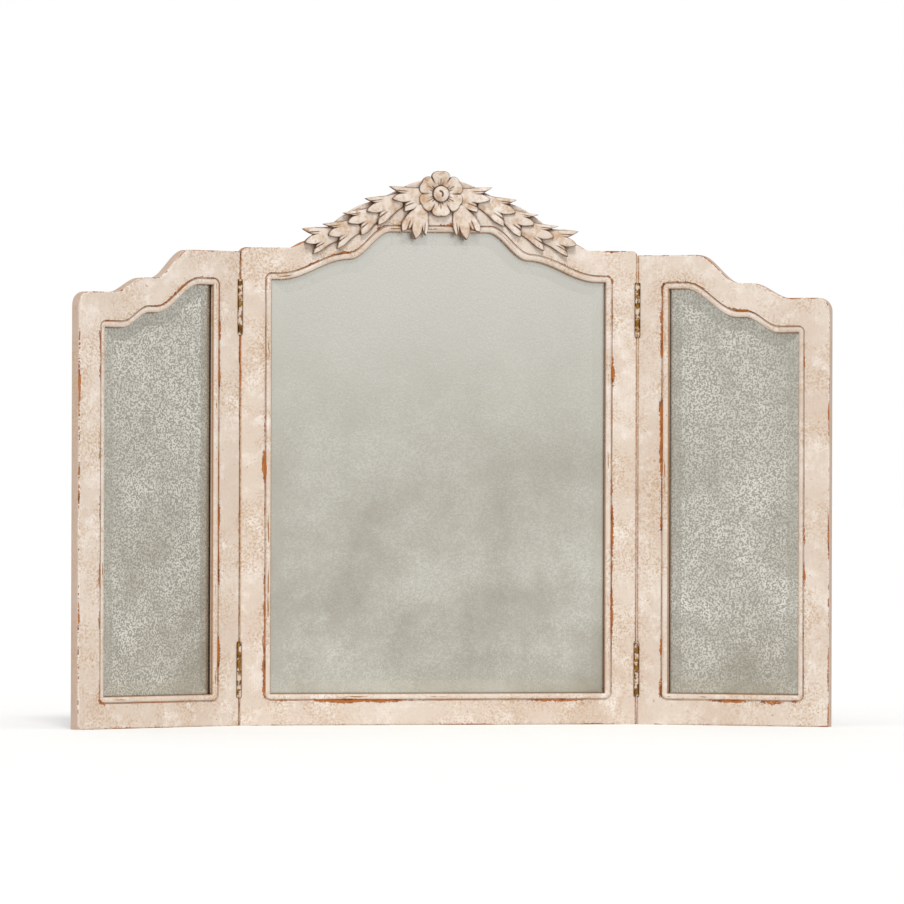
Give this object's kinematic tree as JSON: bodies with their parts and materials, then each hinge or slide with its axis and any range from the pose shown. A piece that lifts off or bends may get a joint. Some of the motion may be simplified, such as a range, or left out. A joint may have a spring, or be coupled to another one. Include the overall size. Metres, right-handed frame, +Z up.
{
  "type": "trifold vanity mirror",
  "caption": "Free-standing dressing mirror with an arched centre panel and two folding wings on butt hinges, bevelled glass, painted wood frame and a carved flower crest.",
  "frame": {"origin": "middle of the centre panel's underside, half way through its thickness, on the surface that the mirror stands on", "axes": "+X across the mirror to the viewer's right, -Y out of the glass towards the viewer, +Z up"},
  "size_m": [1.0896, 0.1636, 0.7886],
  "materials": {
    "painted_wood": "distressed cream paint over stained wood, matt, worn to brown at the edges",
    "carved_painted_wood": "distressed cream paint with a brown glaze in the carving",
    "antiqued_mirror": "bevelled and antiqued silvering with fine mottling",
    "aged_brass": "aged brass, part painted over",
    "brass_screw": "aged brass, slotted heads",
    "steel_screw": "dull zinc",
    "backing_board": "brown hardboard",
    "grey_felt": "pressed felt",
    "bare_wood": "bare beech"
  },
  "bodies": {
    "centre_panel": {"centre_left_stile": "painted_wood", "centre_right_stile": "painted_wood", "centre_bottom_rail": "painted_wood", "centre_top_rail": "painted_wood", "centre_frame_dowels": "bare_wood", "centre_mirror_glass": "antiqued_mirror", "centre_felt": "grey_felt", "centre_backing_board": "backing_board", "centre_board_screws": "steel_screw", "left_garland": "carved_painted_wood", "right_garland": "carved_painted_wood", "left_bellflower": "carved_painted_wood", "right_bellflower": "carved_painted_wood", "rosette_petals": "carved_painted_wood", "rosette_button": "carved_painted_wood", "left_upper_hinge_frame_leaf": "aged_brass", "left_upper_hinge_pin": "aged_brass", "left_lower_hinge_frame_leaf": "aged_brass", "left_lower_hinge_pin": "aged_brass", "right_upper_hinge_frame_leaf": "aged_brass", "right_upper_hinge_pin": "aged_brass", "right_lower_hinge_frame_leaf": "aged_brass", "right_lower_hinge_pin": "aged_brass", "centre_hinge_screws": "brass_screw"},
    "left_wing": {"left_hinge_stile": "painted_wood", "left_outer_stile": "painted_wood", "left_bottom_rail": "painted_wood", "left_top_rail": "painted_wood", "left_frame_dowels": "bare_wood", "left_mirror_glass": "antiqued_mirror", "left_felt": "grey_felt", "left_backing_board": "backing_board", "left_board_screws": "steel_screw", "left_upper_hinge_wing_leaf": "aged_brass", "left_lower_hinge_wing_leaf": "aged_brass", "left_wing_hinge_screws": "brass_screw"},
    "right_wing": {"right_hinge_stile": "painted_wood", "right_outer_stile": "painted_wood", "right_bottom_rail": "painted_wood", "right_top_rail": "painted_wood", "right_frame_dowels": "bare_wood", "right_mirror_glass": "antiqued_mirror", "right_felt": "grey_felt", "right_backing_board": "backing_board", "right_board_screws": "steel_screw", "right_upper_hinge_wing_leaf": "aged_brass", "right_lower_hinge_wing_leaf": "aged_brass", "right_wing_hinge_screws": "brass_screw"}
  },
  "joints": [
    {"name": "left_wing_fold", "type": "hinge", "parent": "centre_panel", "child": "left_wing", "pos_m": [-0.2882, -0.0097, 0.336], "axis": [0, 0, 1], "range_deg": [-30, 150]},
    {"name": "right_wing_fold", "type": "hinge", "parent": "centre_panel", "child": "right_wing", "pos_m": [0.2882, -0.0097, 0.336], "axis": [0, 0, -1], "range_deg": [-30, 150]}
  ]
}
